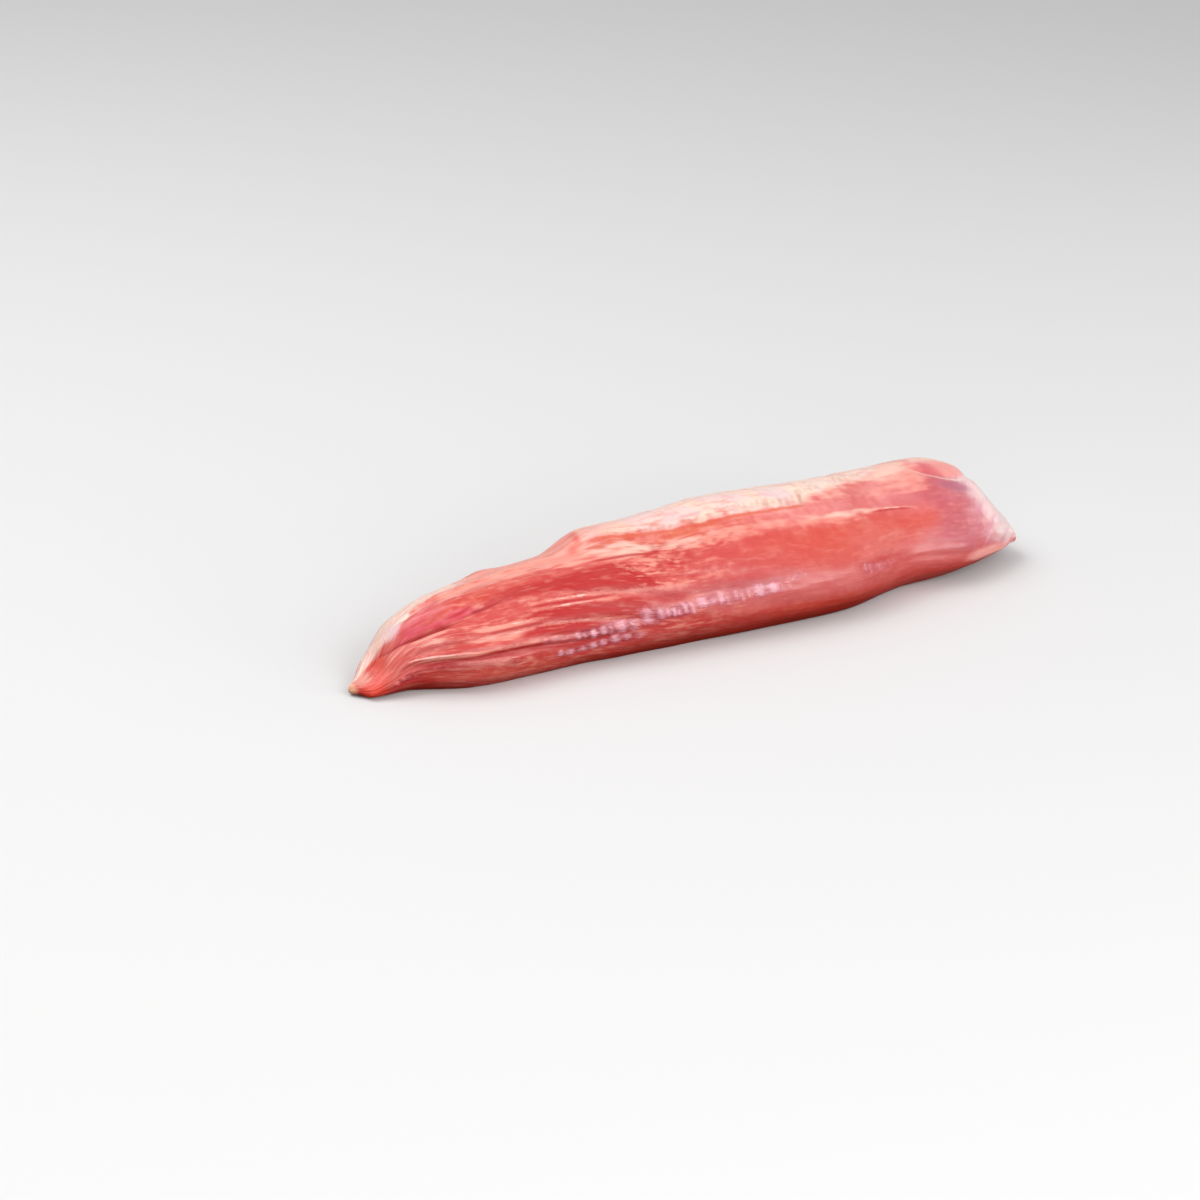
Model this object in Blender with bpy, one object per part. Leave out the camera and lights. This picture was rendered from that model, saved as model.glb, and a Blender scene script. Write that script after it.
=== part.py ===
"""Raw pork tenderloin: one long muscle, lying on its flattened underside.

The long axis is X, from the tapering tip to the blunt head end. Y runs to the
back and Z up. The origin lies under the middle of the piece, on the level that
it rests on. A UV sphere is reshaped into closed sections along X. Each section
has a centre line, a front and a back half width, a height and a flattened
underside. Folds, seams, muscle bundles and the fat cap are relief on them.
Sizes are millimetres and angles degrees until the mesh is made, in metres.
An angle around a section is 0 at the front, 90 on top and 180 at the back.
"""

import bmesh
import bpy
import numpy as np

MM = 0.001

# overall length
TIP_X = -150.0
HEAD_X = 148.0

# sections: place along X, centre line, front half width, back half width, height
SECTIONS = (
    (-150, -2.0, 2.0, 2.0, 6.5),
    (-146, -0.5, 7.5, 3.5, 4.5),
    (-140, 0.5, 10.5, 8.0, 9.2),
    (-128, 3.5, 15.5, 12.4, 20.7),
    (-110, 4.0, 23.5, 17.0, 27.1),
    (-88, 7.0, 27.0, 19.0, 28.7),
    (-64, 8.0, 27.0, 17.5, 31.4),
    (-46, 8.0, 28.5, 17.5, 35.3),
    (-24, 6.5, 28.0, 17.5, 36.9),
    (10, 8.0, 31.5, 20.0, 39.5),
    (50, 10.5, 34.0, 24.0, 38.5),
    (86, 16.0, 31.0, 24.0, 36.0),
    (110, 17.0, 33.5, 23.5, 37.5),
    (128, 18.5, 31.0, 20.0, 33.5),
    (140, 18.5, 26.0, 20.0, 22.5),
    (148, 11.5, 17.0, 12.5, 11.5),
)
STATION_X, CENTRE_Y, FRONT_HALF, BACK_HALF, HEIGHT = zip(*SECTIONS)

# share of the height at which a section is widest, along X
WIDEST_AT = ((-150, -128, -88, 0, 86, 115, 135, 148), (0.45, 0.42, 0.36, 0.34, 0.34, 0.30, 0.25, 0.40))
# level of the underside along X: below zero it is pressed flat, above zero it is lifted
UNDERSIDE = (
    (-150, -138, -120, -90, -40, 60, 95, 115, 135, 148),
    (0.2, -1, -3, -5, -6, -6, -4, -0.5, 3, 5),
)

# exponents of the four quarters of a section: 2 is an ellipse, more is squarer
UPPER_FRONT = 1.85
UPPER_BACK = 2.2
LOWER_FRONT = 2.5
LOWER_BACK = 2.3

# both ends close over a short rounded length, at one point
TIP_ROUND = 9.0
HEAD_ROUND = 4.5
ROUND_POWER = 2.3
TIP_POINT_Z = 1.6
HEAD_POINT_Z = 7.5
HEAD_POINT_Y = 3.0
POINT_RUN = 4.0
POINT_RISE = 1.5

# the fold between the two lobes of the tapering tail: angle and depth along X
FOLD_ANGLE = (
    (-150, -138, -136, -133, -129, -125, -118, -112, -106, -99, -88),
    (98, 92, 76, 64, 55, 52, 52, 55, 58, 59, 62),
)
FOLD_DEPTH = ((-150, -144, -138, -132, -122, -112, -104, -90), (0, 0.8, 1.9, 2.1, 1.9, 1.7, 0.9, 0))
# it is steep on the side of the front lobe and runs out on the side of the back lobe
FOLD_FRONT_WIDTH = 0.7
FOLD_BACK_WIDTH = 2.3
FOLD_SWELL = 0.3
FRONT_SWELL_AT = -2.8
BACK_SWELL_AT = 5.5
SWELL_WIDTH = 2.6

# the low groove along the front of the tail, with a lip above it
GROOVE_ANGLE = (
    (-136, -127, -118, -110, -104, -97, -84, -75, -62, -44),
    (24, 12.5, 9.5, 9, 10.5, 11, 8, 3.5, 0, -1),
)
GROOVE_DEPTH = ((-138, -130, -118, -100, -84, -60, -42), (0, 0.4, 0.5, 0.6, 0.5, 0.45, 0))
GROOVE_WIDTH = 0.8
LIP_AT = 1.7
LIP_WIDTH = 1.0

# the fat cap over the top: its lower edge, thickness, and the step that it starts with
CAP_ANGLE = ((-58, -50, -37, -15, 25, 40, 55, 80, 100), (92, 81, 76, 70, 68, 71, 78, 83, 92))
CAP_THICKNESS = 1.0
CAP_START = (-65, -45.5)
CAP_FADE = (86, 112)
CAP_BACK = (140, 170)
STEP_HEIGHT = 2.6
STEP_FADE = (-20, 60)
STEP_FRONT = (62, 95)
STEP_BACK = (125, 165)

# a knob on the back of the tail
KNOB_X = -86.5
KNOB_ANGLE = 127.0
KNOB_HEIGHT = 1.2
KNOB_LENGTH = 6.0
KNOB_WIDTH = 4.5

# the tip: a nub, a cut below its very end and a small cup where the fold opens
NUB_X = -145.0
NUB_ANGLE = 14.0
NUB_HEIGHT = 1.3
NUB_LENGTH = 2.2
NUB_WIDTH = 2.4
TIP_CUT_X = -147.0
TIP_CUT_DEPTH = 0.8
TIP_CUT_WIDTH = 0.8
TIP_CUT_LOWER = (-50, -25)
TIP_CUT_UPPER = (22, 38)
CUP_X = -139.5
CUP_ANGLE = 76.0
CUP_DEPTH = 1.5
CUP_LENGTH = 2.6
CUP_WIDTH = 3.2

# the round lobe on top of the head end, with a seam around it and a hollow in front of it
LOBE_X = 118.5
LOBE_ANGLE = 95.0
LOBE_HALF_LENGTH = 15.5
LOBE_HALF_WIDTH = 11.2
LOBE_RISE = 0.4
SEAM_DEPTH = 0.7
SEAM_WIDTH = 0.1
SEAM_BACK = (-5, 5)
HOLLOW_X = 119.0
HOLLOW_ANGLE = 57.0
HOLLOW_DEPTH = 0.9
HOLLOW_LENGTH = 9.0
HOLLOW_WIDTH = 3.0

# a band of connective tissue down the upper front, sharpest at both ends
RIDGE_ANGLE = ((-50, -30, -10, 0, 33, 67, 93), (70, 63, 62, 61, 57, 55, 48))
RIDGE_START = (-54, -40)
RIDGE_FADE = (88, 104)
RIDGE_HEIGHT = 0.45
RIDGE_WIDTH = 1.3

# muscle bundles down the front: they drift around the body along X and fade to the head end
BUNDLES_AROUND = 19
BUNDLE_HEIGHT = 0.25
BUNDLE_DRIFT = ((-150, -85, -30, 40, 110), (0, 7, 33, 42, 50))
DRIFT_ABOVE = (20, 150)
DRIFT_BELOW = (-90, -20)
BUNDLE_START = (-142, -118)
BUNDLE_FADE = (-60, 5)
BUNDLE_FADE_SHARE = 0.9
BUNDLE_FRONT = (-5, 15)
BUNDLE_BACK = (95, 130)

# where the middle of the finished outline lies before it is centred
MIDDLE_X = -1.0
MIDDLE_Y = 8.2

# resolution: points around, and rings over the tip, the tail, the body and the head end
SEGMENTS = 72
TIP_RINGS = 8
TAIL_RINGS = 28
BODY_RINGS = 34
HEAD_RINGS = 5
TAIL_END_X = -84.0
# the points around crowd towards the angle where the folds lie
CLOSEST_ANGLE = np.radians(57)
CROWDING = np.radians(25)

MEAT_COLOUR = (0.76, 0.16, 0.13, 1.0)
MEAT_ROUGHNESS = 0.32


def curve(keys, values, x):
    """Smooth curve through the keys that never overshoots them."""
    keys = np.asarray(keys, float)
    values = np.asarray(values, float)
    step = np.diff(keys)
    slope = np.diff(values) / step
    before = 2 * step[1:] + step[:-1]
    after = step[1:] + 2 * step[:-1]
    steady = slope[1:] * slope[:-1] > 0
    left = np.where(steady, slope[:-1], 1.0)
    right = np.where(steady, slope[1:], 1.0)
    inner = np.where(steady, (before + after) / (before / left + after / right), 0.0)
    tangent = np.concatenate([slope[:1], inner, slope[-1:]])
    x = np.clip(x, keys[0], keys[-1])
    k = np.clip(np.searchsorted(keys, x) - 1, 0, len(step) - 1)
    s = (x - keys[k]) / step[k]
    near = (1 + 2 * s) * (1 - s) ** 2 * values[k] + s * (1 - s) ** 2 * step[k] * tangent[k]
    far = s * s * (3 - 2 * s) * values[k + 1] + s * s * (s - 1) * step[k] * tangent[k + 1]
    return near + far


def fade(x, start, end):
    """Smooth rise from 0 at start to 1 at end."""
    s = np.clip((x - start) / (end - start), 0.0, 1.0)
    return s * s * (3 - 2 * s)


def hump(distance, width):
    """Bell of height 1."""
    return np.exp(-(distance / width) ** 2)


def fold_relief(x, arc):
    """Deep fold between the lobes of the tail, with a swelling on both sides."""
    d = arc(FOLD_ANGLE)
    swell = hump(d - FRONT_SWELL_AT, SWELL_WIDTH) + hump(d - BACK_SWELL_AT, SWELL_WIDTH)
    cut = hump(d, np.where(d < 0, FOLD_FRONT_WIDTH, FOLD_BACK_WIDTH))
    return curve(*FOLD_DEPTH, x) * (FOLD_SWELL * swell - cut)


def groove_relief(x, arc):
    """Low groove of the tail with the lip above it."""
    d = arc(GROOVE_ANGLE)
    return curve(*GROOVE_DEPTH, x) * (hump(d - LIP_AT, LIP_WIDTH) - hump(d, GROOVE_WIDTH))


def cap_relief(x, angle, arc):
    """Fat cap over the top and back, and the step that it starts with."""
    edge = 1 / (1 + np.exp(-arc(CAP_ANGLE)))
    sheet = edge * (1 - fade(x, *CAP_FADE)) * (1 - fade(angle, *CAP_BACK))
    step = (1 - fade(x, *STEP_FADE)) * fade(angle, *STEP_FRONT) * (1 - fade(angle, *STEP_BACK))
    return fade(x, *CAP_START) * (CAP_THICKNESS * sheet + STEP_HEIGHT * step)


def knob_relief(x, arc):
    """Small round knob on the back."""
    return KNOB_HEIGHT * hump(x - KNOB_X, KNOB_LENGTH) * hump(arc(KNOB_ANGLE), KNOB_WIDTH)


def tip_relief(x, angle, arc):
    """Nub, cut and cup of the tip."""
    nub = NUB_HEIGHT * hump(x - NUB_X, NUB_LENGTH) * hump(arc(NUB_ANGLE), NUB_WIDTH)
    cup = CUP_DEPTH * hump(x - CUP_X, CUP_LENGTH) * hump(arc(CUP_ANGLE), CUP_WIDTH)
    on_front = fade(angle, *TIP_CUT_LOWER) * (1 - fade(angle, *TIP_CUT_UPPER))
    return nub - cup - TIP_CUT_DEPTH * hump(x - TIP_CUT_X, TIP_CUT_WIDTH) * on_front


def head_relief(x, arc):
    """Round lobe with its seam, the hollow in front of it, and the band that runs towards it."""
    from_lobe = np.hypot((x - LOBE_X) / LOBE_HALF_LENGTH, arc(LOBE_ANGLE) / LOBE_HALF_WIDTH)
    seam = SEAM_DEPTH * hump(from_lobe - 1.0, SEAM_WIDTH) * (1 - fade(arc(LOBE_ANGLE), *SEAM_BACK))
    lobe = LOBE_RISE * (1 - fade(from_lobe, 0.5, 1.0)) - seam
    hollow = HOLLOW_DEPTH * hump(x - HOLLOW_X, HOLLOW_LENGTH) * hump(arc(HOLLOW_ANGLE), HOLLOW_WIDTH)
    ridge_on = fade(x, *RIDGE_START) * (1 - fade(x, *RIDGE_FADE))
    return lobe - hollow + ridge_on * RIDGE_HEIGHT * hump(arc(RIDGE_ANGLE), RIDGE_WIDTH)


def bundle_relief(x, angle):
    """Uneven lengthwise muscle bundles: two sine waves around, bent by slow waves along X."""
    drift = curve(*BUNDLE_DRIFT, x) * fade(angle, *DRIFT_BELOW) * (1 - fade(angle, *DRIFT_ABOVE))
    around = np.radians(angle + drift)
    wide = np.sin(BUNDLES_AROUND * around + 1.2 * np.sin(x / 31))
    narrow = 0.6 * np.sin(1.6 * BUNDLES_AROUND * around + 1.7 * np.sin(x / 23 + 1))
    on_front = fade(angle, *BUNDLE_FRONT) * (1 - fade(angle, *BUNDLE_BACK))
    along = fade(x, *BUNDLE_START) * (1 - BUNDLE_FADE_SHARE * fade(x, *BUNDLE_FADE))
    return BUNDLE_HEIGHT * along * on_front * (wide + narrow)


def relief(x, t, radius):
    """Height of all relief over the plain sections."""
    angle = np.degrees(t)
    angle = np.where(angle > 270, angle - 360, angle)

    def arc(line):
        at = line if np.isscalar(line) else curve(*line, x)
        return radius * np.radians(angle - at)

    folds = fold_relief(x, arc) + groove_relief(x, arc) + bundle_relief(x, angle)
    ends = tip_relief(x, angle, arc) + head_relief(x, arc)
    return folds + ends + cap_relief(x, angle, arc) + knob_relief(x, arc)


def rounding(x):
    """Size of a section as a share of its full size: it falls to 0 at both ends."""
    tip = np.clip((TIP_X + TIP_ROUND - x) / TIP_ROUND, 0.0, 1.0)
    head = np.clip((x - HEAD_X + HEAD_ROUND) / HEAD_ROUND, 0.0, 1.0)
    return ((1 - tip ** ROUND_POWER) * (1 - head ** ROUND_POWER)) ** (1 / ROUND_POWER)


def surface(x, t):
    """Points of the body, in millimetres, for places along X and angles t in radians."""
    centre, front, back, height = (
        curve(STATION_X, sizes, x) for sizes in (CENTRE_Y, FRONT_HALF, BACK_HALF, HEIGHT))
    under = curve(*UNDERSIDE, x)
    foot = np.maximum(under, 0.0)
    widest = foot + curve(*WIDEST_AT, x) * (height - foot)

    to_front = np.cos(t)
    to_top = np.sin(t)
    half = np.where(to_front > 0, front, back)
    rise = np.where(to_top > 0, height - widest, widest - under)
    upper = np.where(to_front > 0, UPPER_FRONT, UPPER_BACK)
    lower = np.where(to_front > 0, LOWER_FRONT, LOWER_BACK)
    power = 2 / np.where(to_top > 0, upper, lower)
    y = centre - np.sign(to_front) * half * np.abs(to_front) ** power
    z = widest + np.sign(to_top) * rise * np.abs(to_top) ** power

    out_y = -to_front / half
    out_z = to_top / rise
    lift = relief(x, t, (front + back + height) / 4) / np.hypot(out_y, out_z)
    y = y + lift * out_y
    z = z + lift * out_z

    share = rounding(x)
    point_y = centre + (HEAD_POINT_Y - centre) * fade(x, HEAD_X - HEAD_ROUND, HEAD_X)
    runs = (TIP_X, TIP_X + TIP_ROUND + POINT_RUN, HEAD_X - HEAD_ROUND - POINT_RUN, HEAD_X)
    point_z = curve(runs, (TIP_POINT_Z, TIP_POINT_Z + POINT_RISE, HEAD_POINT_Z + 1, HEAD_POINT_Z), x)
    y = point_y + (y - point_y) * share
    z = np.maximum(point_z + (z - point_z) * share, 0.0)
    return np.stack([x - MIDDLE_X, y - MIDDLE_Y, z], axis=-1)


def ring_positions():
    """X of the tip, of every ring and of the head end, closer over both ends and in the tail."""
    tip = np.radians(90) * np.arange(TIP_RINGS + 1) / TIP_RINGS
    head = np.radians(90) * np.arange(HEAD_RINGS, -1, -1) / HEAD_RINGS
    tip_x = TIP_X + TIP_ROUND * (1 - np.cos(tip) ** (2 / ROUND_POWER))
    head_x = HEAD_X - HEAD_ROUND * (1 - np.cos(head) ** (2 / ROUND_POWER))
    tail_x = np.linspace(tip_x[-1], TAIL_END_X, TAIL_RINGS + 1)
    body_x = np.linspace(TAIL_END_X, head_x[0], BODY_RINGS + 1)
    return np.concatenate([tip_x[:-1], tail_x[:-1], body_x[:-1], head_x])


def body_mesh():
    """UV sphere whose rings of latitude become the sections, and whose poles the two ends."""
    rings = ring_positions()
    mesh = bpy.data.meshes.new("tenderloin")
    sphere = bmesh.new()
    bmesh.ops.create_uvsphere(sphere, u_segments=SEGMENTS, v_segments=len(rings) - 1, radius=1.0)
    sphere.to_mesh(mesh)
    sphere.free()
    points = np.empty(len(mesh.vertices) * 3)
    mesh.vertices.foreach_get("co", points)
    points = points.reshape(-1, 3)
    latitude = np.arccos(np.clip(points[:, 2], -1, 1)) / np.pi
    longitude = np.arctan2(points[:, 1], points[:, 0])
    longitude = (longitude - CROWDING * np.sin(longitude - CLOSEST_ANGLE)) % (2 * np.pi)
    ring = np.rint(latitude * (len(rings) - 1)).astype(int)
    points = surface(rings[ring], longitude)
    print("tenderloin from", points.min(axis=0).round(2), "to", points.max(axis=0).round(2), "mm")
    mesh.vertices.foreach_set("co", (points * MM).ravel())
    mesh.shade_smooth()
    mesh.update()
    return mesh


def meat_material():
    material = bpy.data.materials.new("raw_pork")
    material.use_nodes = True
    shader = material.node_tree.nodes["Principled BSDF"]
    shader.inputs["Base Color"].default_value = MEAT_COLOUR
    shader.inputs["Roughness"].default_value = MEAT_ROUGHNESS
    return material


def build():
    for existing in list(bpy.data.objects):
        bpy.data.objects.remove(existing, do_unlink=True)
    collection = bpy.data.collections.new("pork_tenderloin")
    bpy.context.scene.collection.children.link(collection)
    mesh = body_mesh()
    mesh.materials.append(meat_material())
    collection.objects.link(bpy.data.objects.new("tenderloin", mesh))
    print("triangles:", sum(len(face.vertices) - 2 for face in mesh.polygons))


build()
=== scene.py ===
# %% [markdown]
# # A raw pork tenderloin
#
# The object is one long, soft muscle. It lies on its flattened underside, with a
# folded, tapering tail at one end and a blunt, skin-covered head at the other.
# Its shape is one surface worked out with numpy, and its look is one material
# that mixes meat, fat, sinew and silverskin by masks that the shape provides.

import bpy
import numpy as np
from mathutils import Matrix, Vector


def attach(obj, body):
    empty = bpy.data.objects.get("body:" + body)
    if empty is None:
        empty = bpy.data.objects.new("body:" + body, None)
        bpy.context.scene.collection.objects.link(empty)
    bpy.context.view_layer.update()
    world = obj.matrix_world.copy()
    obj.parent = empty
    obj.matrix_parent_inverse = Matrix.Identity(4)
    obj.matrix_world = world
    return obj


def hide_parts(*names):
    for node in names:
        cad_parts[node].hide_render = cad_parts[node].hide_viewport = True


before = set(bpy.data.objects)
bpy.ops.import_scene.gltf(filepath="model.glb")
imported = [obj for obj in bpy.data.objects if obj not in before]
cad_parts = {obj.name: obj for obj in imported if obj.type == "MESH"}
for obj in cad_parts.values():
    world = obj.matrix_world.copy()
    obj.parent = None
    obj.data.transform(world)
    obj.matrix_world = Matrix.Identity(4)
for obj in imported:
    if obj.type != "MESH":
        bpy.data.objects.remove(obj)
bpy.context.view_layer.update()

# %% [markdown]
# ## Colours as the eye sees them
#
# A picture is shown with plain sRGB here, so that a colour that is chosen
# comes out as chosen. Shaders work in linear light, so each colour is converted.

# %% View and colour helper
bpy.context.scene.view_settings.view_transform = "Standard"


def seen(red, green, blue):
    """Linear colour with alpha from the 0 to 255 values that a screen would show."""
    share = np.array([red, green, blue]) / 255
    linear = np.where(share <= 0.04045, share / 12.92, ((share + 0.055) / 1.055) ** 2.4)
    return (*linear.tolist(), 1.0)


print("a mid salmon in linear light:", np.round(seen(231, 112, 100), 3))

# %% [markdown]
# ## Camera
#
# The piece is seen from its front left, a little from above, with a long lens
# and a slightly tilted horizon. The camera's place is a real distance from the
# middle of the underside, which is the origin of the frame.

# %% Camera
CAMERA_PLACE = (-0.6027, -0.8001, 0.4187)
CAMERA_HEADING = np.radians(35.10)
CAMERA_DOWN = np.radians(22.61)
CAMERA_ROLL = np.radians(3.57)
LENS_MM = 88.45
SENSOR_MM = 36.0

camera_data = bpy.data.cameras.new("camera")
camera_data.lens = LENS_MM
camera_data.sensor_width = SENSOR_MM
camera_data.clip_start = 0.05
camera = bpy.data.objects.new("camera", camera_data)
# rolled about its own axis, raised from looking straight down, then turned to its heading
heading = Matrix.Rotation(-CAMERA_HEADING, 4, "Z")
raised = Matrix.Rotation(np.pi / 2 - CAMERA_DOWN, 4, "X")
rolled = Matrix.Rotation(CAMERA_ROLL, 4, "Z")
camera.matrix_world = Matrix.Translation(CAMERA_PLACE) @ heading @ raised @ rolled
bpy.context.scene.collection.objects.link(camera)
bpy.context.scene.camera = camera
print("camera at", CAMERA_PLACE, "lens", LENS_MM)

# %% [markdown]
# ## The sizes of the muscle
#
# A muscle has no straight edge to measure, so it is described by sections along
# its length, as a butcher's slices would be. Each section has a centre line, a
# front half width, a back half width and a height. Angles around a section are 0
# at the front, 90 on top and 180 at the back. Lengths are millimetres.

# %% Sections
MM = 0.001
TIP_X = -150.0
HEAD_X = 148.0
MIDDLE_X = -1.0
MIDDLE_Y = 8.2

# each: X, centre line, front half width, back half width, height
SECTIONS = (
    (-150, -2, 2, 2, 6.5), (-146, -0.5, 7.5, 3.5, 4.5), (-140, 0.5, 10.5, 8, 9.2),
    (-128, 3.5, 15.5, 12.4, 20.7), (-110, 4, 23.5, 17, 27.1), (-88, 7, 27, 19, 28.7),
    (-64, 8, 27, 17.5, 31.4), (-46, 8, 28.5, 17.5, 35.3), (-24, 6.5, 28, 17.5, 36.9),
    (10, 8, 31.5, 20, 39.5), (50, 10.5, 34, 24, 38.5), (86, 16, 31, 24, 36),
    (110, 17, 33.5, 23.5, 37.5), (128, 18.5, 31, 20, 33.5), (140, 18.5, 26, 20, 22.5),
    (148, 11.5, 17, 12.5, 11.5),
)
STATION_X, CENTRE_Y, FRONT_HALF, BACK_HALF, HEIGHT = zip(*SECTIONS)
WIDEST_AT = ((-150, -128, -88, 0, 86, 115, 135, 148), (0.45, 0.42, 0.36, 0.34, 0.34, 0.30, 0.25, 0.40))
UNDERSIDE = (
    (-150, -138, -120, -90, -40, 60, 95, 115, 135, 148),
    (0.2, -1, -3, -5, -6, -6, -4, -0.5, 3, 5),
)
UPPER_FRONT = 1.85
UPPER_BACK = 2.2
LOWER_FRONT = 2.5
LOWER_BACK = 2.3
TIP_ROUND = 9.0
HEAD_ROUND = 4.5
ROUND_POWER = 2.3
TIP_POINT_Z = 1.6
HEAD_POINT_Z = 7.5
HEAD_POINT_Y = 3.0
POINT_RUN = 4.0
POINT_RISE = 1.5


def curve(keys, values, x):
    """Cubic pieces. The slope at a key is a weighted harmonic mean of both sides, and 0 at a turn."""
    keys = np.asarray(keys, float)
    values = np.asarray(values, float)
    step = np.diff(keys)
    slope = np.diff(values) / step
    before = 2 * step[1:] + step[:-1]
    after = step[1:] + 2 * step[:-1]
    steady = slope[1:] * slope[:-1] > 0
    left = np.where(steady, slope[:-1], 1.0)
    right = np.where(steady, slope[1:], 1.0)
    inner = np.where(steady, (before + after) / (before / left + after / right), 0.0)
    tangent = np.concatenate([slope[:1], inner, slope[-1:]])
    x = np.clip(x, keys[0], keys[-1])
    k = np.clip(np.searchsorted(keys, x) - 1, 0, len(step) - 1)
    s = (x - keys[k]) / step[k]
    near = (1 + 2 * s) * (1 - s) ** 2 * values[k] + s * (1 - s) ** 2 * step[k] * tangent[k]
    far = s * s * (3 - 2 * s) * values[k + 1] + s * s * (s - 1) * step[k] * tangent[k + 1]
    return near + far


def fade(x, start, end):
    """Smooth rise from 0 at start to 1 at end: 3 s squared minus 2 s cubed."""
    s = np.clip((x - start) / (end - start), 0.0, 1.0)
    return s * s * (3 - 2 * s)


def stretch(x, rise, fall):
    """1 between a smooth rise and a smooth fall, each given by where it starts and stops."""
    return fade(x, *rise) * (1 - fade(x, *fall))


def between(x, start, end, softness):
    """1 from start to end, with smooth ends that reach as far out as in."""
    return stretch(x, (start - softness, start + softness), (end - softness, end + softness))


def hump(distance, width):
    """Bell of height 1: e to the minus of distance over width, squared."""
    return np.exp(-(distance / width) ** 2)


print("sections:", len(SECTIONS), "from", TIP_X, "to", HEAD_X, "mm")

# %% [markdown]
# ## Large relief
#
# The tail is split by a fold into two lobes and ends in a small cup with a nub
# below it. A low groove with a lip runs along its front, a sheet of fat starts
# with a step on the top, and the head has a round lobe with a seam. Each is a
# bell or a step, measured across the surface from a line that wanders along the
# length.

# %% Relief of folds, groove, fat cap and head
# lines and depths: X places, then the angle or the millimetres at each
FOLD_ANGLE = (
    (-150, -138, -136, -133, -129, -125, -118, -112, -106, -99, -88),
    (98, 92, 76, 64, 55, 52, 52, 55, 58, 59, 62),
)
FOLD_DEPTH = ((-150, -144, -138, -132, -122, -112, -104, -90), (0, 0.8, 1.9, 2.1, 1.9, 1.7, 0.9, 0))
FOLD_FRONT_WIDTH = 0.7
FOLD_BACK_WIDTH = 2.3
FOLD_SWELL = 0.3
FRONT_SWELL_AT = -2.8
BACK_SWELL_AT = 5.5
SWELL_WIDTH = 2.6
GROOVE_ANGLE = (
    (-136, -127, -118, -110, -104, -97, -84, -75, -62, -44),
    (24, 12.5, 9.5, 9, 10.5, 11, 8, 3.5, 0, -1),
)
GROOVE_DEPTH = ((-138, -130, -118, -100, -84, -60, -42), (0, 0.4, 0.5, 0.6, 0.5, 0.45, 0))
GROOVE_WIDTH = 0.8
LIP_AT = 1.7
LIP_WIDTH = 1.0
CAP_ANGLE = ((-58, -50, -37, -15, 25, 40, 55, 80, 100), (92, 81, 76, 70, 68, 71, 78, 83, 92))
CAP_THICKNESS = 1.0
CAP_START = (-65, -45.5)
CAP_FADE = (86, 112)
CAP_BACK = (140, 170)
STEP_HEIGHT = 2.6
STEP_FADE = (-20, 60)
STEP_AROUND = ((62, 95), (125, 165))
LOBE_X = 118.5
LOBE_ANGLE = 95.0
LOBE_HALF_LENGTH = 15.5
LOBE_HALF_WIDTH = 11.2
LOBE_RISE = 0.4
SEAM_DEPTH = 0.7
SEAM_WIDTH = 0.1
SEAM_BACK = (-5, 5)
TIP_CUT_X = -147.0
TIP_CUT_DEPTH = 0.8
TIP_CUT_WIDTH = 0.8
TIP_CUT_AROUND = ((-50, -25), (22, 38))
HOLLOW_ANGLE = 57.0
# each: X, angle, height or minus a depth, length and width
KNOB = (-86.5, 127, 1.2, 6, 4.5)
NUB = (-145, 14, 1.3, 2.2, 2.4)
CUP = (-139.5, 76, -1.5, 2.6, 3.2)
HOLLOW = (119, HOLLOW_ANGLE, -0.9, 9, 3)
RIDGE_ANGLE = ((-50, -30, -10, 0, 33, 67, 93), (70, 63, 62, 61, 57, 55, 48))
RIDGE_ALONG = ((-54, -40), (88, 104))
RIDGE_HEIGHT = 0.45
RIDGE_WIDTH = 1.3
BUNDLES_AROUND = 19
BUNDLE_HEIGHT = 0.25
BUNDLE_DRIFT = ((-150, -85, -30, 40, 110), (0, 7, 33, 42, 50))
DRIFT_AROUND = ((-90, -20), (20, 150))
BUNDLE_START = (-142, -118)
BUNDLE_FADE = (-60, 5)
BUNDLE_SMOOTHED = 0.9
BUNDLE_AROUND = ((-5, 15), (95, 130))


def degrees_around(t):
    """Angle in degrees from -90, at the seam under the piece, to 270."""
    angle = np.degrees(t)
    return np.where(angle > 270, angle - 360, angle)


def across(line, x, angle, radius):
    """Millimetres across the surface from a line, given as one angle or as angles along X."""
    at = line if np.isscalar(line) else curve(*line, x)
    return radius * np.radians(angle - at)


def mound(form, x, angle, radius):
    """One bell along X times one bell across the surface."""
    place, at, height, length, width = form
    return height * hump(x - place, length) * hump(across(at, x, angle, radius), width)


def fold_relief(x, angle, radius):
    """Fold: a bell that is narrow on its front side and wide on its back side, with two swellings."""
    d = across(FOLD_ANGLE, x, angle, radius)
    swell = hump(d - FRONT_SWELL_AT, SWELL_WIDTH) + hump(d - BACK_SWELL_AT, SWELL_WIDTH)
    cut = hump(d, np.where(d < 0, FOLD_FRONT_WIDTH, FOLD_BACK_WIDTH))
    return curve(*FOLD_DEPTH, x) * (FOLD_SWELL * swell - cut)


def groove_relief(x, angle, radius):
    """Groove: one bell down, and one bell up for the lip above it."""
    d = across(GROOVE_ANGLE, x, angle, radius)
    return curve(*GROOVE_DEPTH, x) * (hump(d - LIP_AT, LIP_WIDTH) - hump(d, GROOVE_WIDTH))


def cap_relief(x, angle, radius):
    """Fat cap: an S-shaped step across its lower edge, faded along and around the body."""
    edge = 1 / (1 + np.exp(-across(CAP_ANGLE, x, angle, radius)))
    sheet = edge * (1 - fade(x, *CAP_FADE)) * (1 - fade(angle, *CAP_BACK))
    step = (1 - fade(x, *STEP_FADE)) * stretch(angle, *STEP_AROUND)
    return fade(x, *CAP_START) * (CAP_THICKNESS * sheet + STEP_HEIGHT * step)


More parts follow.
